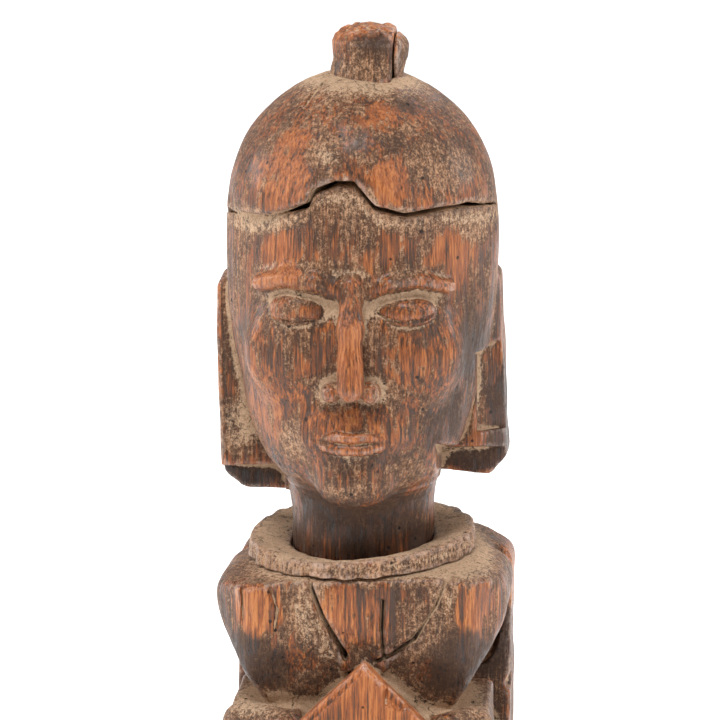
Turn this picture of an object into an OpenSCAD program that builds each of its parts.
// Seated ancestor figure, carved in wood and put together from pegged and tenoned pieces.
// It faces -Y and stands on its plinth, with the origin under the middle of the plinth.

/* [Plinth] */
// Width and depth of the square plinth
plinth_side = 118; // [114:1:130]
// Height of the plinth
plinth_h = 26; // [22:1:34]
// Chamfer on the plinth's upright edges
plinth_chamfer = 5; // [2:1:8]

/* [Body] */
// Width across the shoulders
shoulder_w = 112; // [104:1:114]
// Depth of the log, from the shins to the back board
log_d = 96; // [92:1:100]
// Height of the crossed legs and forearms above the plinth
lap_h = 50; // [46:1:54]
// Height of the trunk from the lap to the collar's seat
trunk_h = 50; // [46:1:54]
// Thickness of the upright board left at the back
back_board_t = 24; // [18:1:26]
// Slope of the shoulders, which rise towards +X, in degrees
shoulder_slope = 3; // [0:0.5:4]

/* [Collar] */
// Outer diameter of the collar ring
collar_d = 89; // [84:1:92]
// Thickness of the collar ring
collar_t = 7; // [5:0.5:8]

/* [Head] */
// Width of the head
head_w = 101; // [96:1:104]
// Depth of the head from brow to nape
head_d = 96; // [92:1:100]
// Height of the head from chin to crown
head_h = 161; // [150:1:170]
// Diameter of the neck
neck_d = 50; // [46:1:52]
// Length of neck that shows between the collar's seat and the chin
neck_h = 27; // [24:1:32]
// Distance from the middle of the head to the outer face of each lappet
lappet_reach = 56; // [52:1:57]
// Length of the longer lappet, on the -X side
lappet_l = 120; // [100:1:124]

/* [Topknot] */
// Diameter of the topknot
topknot_d = 28; // [26:1:32]
// Height of the topknot above the crown
topknot_h = 17; // [14:1:22]
// Distance of the topknot from the middle of the head, towards +X
topknot_x = 3; // [0:1:6]

/* [Tablet] */
// Half the diagonal of the square tablet, which stands on one corner
tablet_half = 31; // [28:1:33]
// Thickness of the tablet
tablet_t = 7; // [5:0.5:8]

/* [Joinery] */
// Diameter of the loose dowel between body and head
dowel_d = 20; // [16:1:22]
// Radial clearance of the neck dowel
dowel_gap = 0.05; // [0.03:0.01:0.1]
// Diameter of the tablet's pegs
peg_d = 6; // [5:0.5:7]

/* [Hidden] */
$fn = 96;
far = 200;

dark_wood = [0.36, 0.21, 0.13];
red_wood = [0.52, 0.27, 0.14];
fresh_wood = [0.68, 0.40, 0.24];
dusty_wood = [0.50, 0.39, 0.28];

lap_z = plinth_h + lap_h;
seat_z = lap_z + trunk_h;
neck_seat_z = seat_z - 2;
chin_z = seat_z + neck_h;
crown_z = chin_z + head_h;
hairline_z = chin_z + 0.74 * head_h;
front_y = -log_d / 2;
board_y = log_d / 2 - back_board_t;

// Tenon under the figure, its wedges and the pegs
tenon_w = 34;
tenon_d = 26;
tenon_gap = 0.1;
wedge_t = 4;
wedge_w = 20;
wedge_h = 18;
wedge_x = 9;
peg_gap = 0.02;
peg_spread = 11;
peg_depth = 18;
skin_t = 2.5;
dowel_in = 34;
tenon_r = 11;
topknot_tenon = 24;

// Heights of the face's features, as shares of the way from chin to hairline
mouth_u = 0.23;
nose_u = 0.36;
eye_u = 0.64;
nose_top_u = 0.7;

split_x = 9;
split_lean = 2;
split_gap = 0.5;

// Middle of the tablet, a little to the +X side as the figure holds it
tablet_x = 5.5;
tablet_z = lap_z + 24 - tablet_half;
tablet_back = front_y - 4;

// An upright outline in X and Z, pushed back from y0 to y1
module slab(outline, y0, y1)
    translate([0, y1, 0]) rotate([90, 0, 0]) linear_extrude(y1 - y0) polygon(outline);

// A ball that the hulls below round their corners with
module knob(x, y, z, r) translate([x, y, z]) sphere(r = r, $fn = 16);

// Everything above the plane of the sloping shoulders
module above_shoulders(z)
    translate([0, 0, z]) rotate([0, -shoulder_slope, 0])
        translate([-far, -far, 0]) cube([2 * far, 2 * far, far]);

// ---- plinth and its wedges ----

module plinth_outline() {
    s = plinth_side / 2;
    c = s - plinth_chamfer;
    polygon([[-s, -c], [-c, -s], [c, -s], [s, -c], [s, c], [c, s], [-c, s], [-s, c]]);
}

module plinth() color(dark_wood) difference() {
    linear_extrude(plinth_h) plinth_outline();
    translate([-tenon_w / 2 - tenon_gap, -tenon_d / 2 - tenon_gap, -1])
        cube([tenon_w + 2 * tenon_gap, tenon_d + 2 * tenon_gap, plinth_h + 2]);
}

// One tapered wedge, driven up into a saw cut in the tenon's foot
module wedge(x)
    translate([x, 0, 1])
        slab([[-wedge_t / 2, 0], [wedge_t / 2, 0], [0.5, wedge_h], [-0.5, wedge_h]],
             -wedge_w / 2, wedge_w / 2);

module tenon_wedges() color(fresh_wood) {
    wedge(-wedge_x);
    wedge(wedge_x);
}

// ---- figure ----

// Upper arm: a heavy squared shoulder that tapers down and in to the elbow
module upper_arm(side) {
    x = side * (shoulder_w / 2 - 5);
    elbow_x = side * (shoulder_w / 2 - 22);
    hull() {
        knob(x, front_y + 11, seat_z + 1, 5);
        knob(x, front_y + 9, seat_z - 22, 5);
        knob(x, board_y - 12, seat_z + 1, 5);
        knob(x, board_y - 16, seat_z - 22, 5);
        knob(elbow_x, front_y + 13, lap_z - 3, 5);
        knob(elbow_x, -4, lap_z - 3, 5);
        knob(side * 20, front_y + 13, seat_z + 1, 5);
        knob(side * 18, front_y + 14, lap_z - 3, 5);
    }
}

// Forearm and hand along the lap, from the elbow to the tablet
module forearm(side) hull() {
    knob(side * (shoulder_w / 2 - 6), -2, lap_z - 7, 6);
    knob(side * (shoulder_w / 2 - 6), front_y + 15, lap_z - 7, 6);
    knob(side * (shoulder_w / 2 - 8), front_y + 13, lap_z - 15, 6);
    knob(side * 27, front_y + 5, lap_z - 8, 6);
    knob(side * 27, front_y + 5, lap_z - 18, 6);
}

// Folded leg: knee at the side, shin along the front
module leg(side) hull() {
    knob(side * (shoulder_w / 2 - 8), front_y + 18, plinth_h + 9.5, 9);
    knob(side * (shoulder_w / 2 - 9), front_y + 18, plinth_h + 18, 9);
    knob(side * (shoulder_w / 2 - 9), board_y - 5, plinth_h + 9.5, 9);
    knob(side * (shoulder_w / 2 - 12), board_y - 5, plinth_h + 18, 9);
    knob(side * 12, front_y + 9.5, plinth_h + 9.5, 9);
    knob(side * 12, front_y + 11.5, plinth_h + 17, 9);
}

// Chest between the arms: wide at the collar, narrow at the tablet
module chest()
    slab([[-33, seat_z + 2], [33, seat_z + 4], [24, lap_z + 22], [12, lap_z - 6],
          [-12, lap_z - 6], [-24, lap_z + 22]], front_y + 6, 10);

module trunk() {
    slab([[-30, seat_z + 2], [30, seat_z + 2], [27, plinth_h + 4], [-27, plinth_h + 4]],
         front_y + 16, board_y + 2);
    slab([[-48, seat_z + 2], [48, seat_z + 4], [36, seat_z - 20], [-36, seat_z - 22]],
         front_y + 16, board_y + 2);
}

module back_board() {
    w = shoulder_w / 2;
    slab([[-w + 3, plinth_h], [w, plinth_h], [w, seat_z + 6], [-w + 3, seat_z + 6]],
         board_y, log_d / 2);
}

module torso() color(red_wood) difference() {
    union() {
        back_board();
        trunk();
        chest();
        for (side = [-1, 1]) {
            upper_arm(side);
            forearm(side);
            leg(side);
        }
        // Block that the tablet's back lies on
        slab([[tablet_x - 20, tablet_z], [tablet_x, tablet_z - 20], [tablet_x + 20, tablet_z],
              [tablet_x, tablet_z + 20]], tablet_back, front_y + 20);
        // Seat block under the legs and the forearms
        slab([[-46, plinth_h], [46, plinth_h], [42, lap_z - 6], [-42, lap_z - 6]],
             front_y + 14, board_y + 2);
        translate([-tenon_w / 2, -tenon_d / 2, 1]) cube([tenon_w, tenon_d, plinth_h + 8]);
    }
    above_shoulders(seat_z);
    // Round housing that the foot of the neck stands in
    translate([0, 0, neck_seat_z]) cylinder(d = neck_d + 2, h = 20);
    // Bore for the neck dowel
    translate([0, 0, neck_seat_z - dowel_in]) cylinder(d = dowel_d + 2 * dowel_gap, h = dowel_in + 1);
    // Holes for the tablet's pegs
    for (s = [-1, 1]) peg_hole(s);
    wedge(-wedge_x);
    wedge(wedge_x);
}

// ---- tablet ----

// A blind hole that starts inside the tablet and ends in the figure's belly
module peg_hole(s)
    translate([tablet_x + s * peg_spread, tablet_back + peg_depth, tablet_z])
        rotate([90, 0, 0]) cylinder(d = peg_d + 2 * peg_gap, h = peg_depth + tablet_t - skin_t);

module tablet() color(fresh_wood) difference() {
    h = tablet_half;
    slab([[tablet_x - h, tablet_z], [tablet_x, tablet_z - h], [tablet_x + h, tablet_z],
          [tablet_x, tablet_z + h]], tablet_back - tablet_t, tablet_back);
    for (s = [-1, 1]) peg_hole(s);
}

module tablet_pegs() color(dark_wood) for (s = [-1, 1])
    translate([tablet_x + s * peg_spread, tablet_back + peg_depth - 0.5, tablet_z])
        rotate([90, 0, 0]) cylinder(d = peg_d, h = peg_depth + tablet_t - skin_t - 1);

// ---- collar ----

module collar() color(dusty_wood)
    translate([0, 0, seat_z]) rotate([0, -shoulder_slope, 0]) rotate_extrude()
        polygon([[neck_d / 2 + 3, 0], [collar_d / 2, 0], [collar_d / 2 - 0.5, collar_t - 1],
                 [collar_d / 2 - 3, collar_t], [neck_d / 2 + 9, collar_t - 1],
                 [neck_d / 2 + 3.5, collar_t - 4]]);

// ---- head ----

module neck_dowel() color(fresh_wood)
    translate([0, 0, neck_seat_z - dowel_in + 0.5]) cylinder(d = dowel_d, h = 2 * dowel_in - 1);

// Radius of the oval below the hairline: u is 0 at the chin and 1 at the hairline
function oval_r(u) = head_w / 2 * sqrt(1 - pow(1 - u, 2.4));

// Radius of the hair dome: v is 0 at the hairline and 1 where the dome would close
function dome_r(v) = (head_w / 2 - 1) * sqrt(1 - pow(v, 2.2));

module oval() {
    steps = 18;
    top = 0.955;
    dome_h = (crown_z - hairline_z) / top;
    rotate_extrude() polygon(concat(
        [[0, chin_z + 1]],
        [for (i = [1:steps]) [oval_r(i / steps), chin_z + i / steps * (hairline_z - chin_z)]],
        [for (i = [0:steps]) [dome_r(top * i / steps), hairline_z + top * i / steps * dome_h]],
        [[0, crown_z]]));
}

// One of the two flat lappets that hang behind the cheeks
module lappet(side, length) {
    top = hairline_z - 4;
    slab([[side * 20, top], [side * (lappet_reach - 6), top], [side * (lappet_reach - 3), top - 14],
          [side * lappet_reach, top - length + 4], [side * (lappet_reach - 4), top - length],
          [side * 30, top - length], [side * 20, top - length + 30]], 2, 32);
}

// Distance from the head's axis to its skin, at the share u of the way from chin to hairline, x aside
function skin(u, x) = min(head_d / 2, sqrt(pow(oval_r(u), 2) - x * x));

// A ball that stands out of the face by `out` at (x, u)
module on_face(x, u, r, out)
    knob(x, -(skin(u, x) + out - r), chin_z + u * (hairline_z - chin_z), r);

module nose() hull() {
    on_face(0, nose_top_u, 4, 1);
    on_face(-6, nose_u, 5, 2);
    on_face(6, nose_u, 5, 2);
    on_face(0, nose_u + 0.02, 5, 6);
}

module lips() hull() {
    on_face(-10, mouth_u, 3, 1);
    on_face(10, mouth_u, 3, 1);
    on_face(0, mouth_u, 4, 2.5);
}

module eye(side) hull() {
    on_face(side * 12, eye_u, 3, 0);
    on_face(side * 21, eye_u, 5, 2);
    on_face(side * 31, eye_u, 3, 0);
}

module head() color(red_wood) difference() {
    union() {
        intersection() {
            oval();
            translate([-far / 2, -head_d / 2, 0]) cube([far, head_d, 2 * far]);
        }
        translate([0, 0, neck_seat_z]) cylinder(d = neck_d, h = neck_h + 24);
        lappet(-1, lappet_l);
        lappet(1, lappet_l - 9);
        nose();
        lips();
        eye(-1);
        eye(1);
    }
    translate([0, 0, neck_seat_z - 1]) cylinder(d = dowel_d + 2 * dowel_gap, h = dowel_in + 1);
    translate([topknot_x, 0, crown_z - topknot_tenon])
        cylinder(r = tenon_r + peg_gap, h = topknot_tenon + 1);
}

// ---- topknot ----

module topknot_blank() translate([topknot_x, 0, crown_z]) {
    r = topknot_d / 2;
    rotate_extrude() polygon([[0, 0], [r - 1, 0], [r, 6], [r - 0.5, topknot_h - 7],
                              [r - 3, topknot_h - 2.5], [r - 8, topknot_h], [0, topknot_h]]);
    translate([0, 0, 0.5 - topknot_tenon]) cylinder(r = tenon_r, h = topknot_tenon);
}

// All that lies on the +X side of the split, moved away from it by the gap
module split_side(gap)
    translate([topknot_x + split_x + gap, 0, crown_z]) rotate([0, split_lean, 0])
        translate([0, -far / 2, -far / 2]) cube(far);

module topknot() color(dusty_wood) difference() {
    topknot_blank();
    split_side(0);
}

module topknot_splinter() color(fresh_wood) intersection() {
    topknot_blank();
    split_side(split_gap);
}

plinth();
tenon_wedges();
torso();
tablet();
tablet_pegs();
collar();
neck_dowel();
head();
topknot();
topknot_splinter();
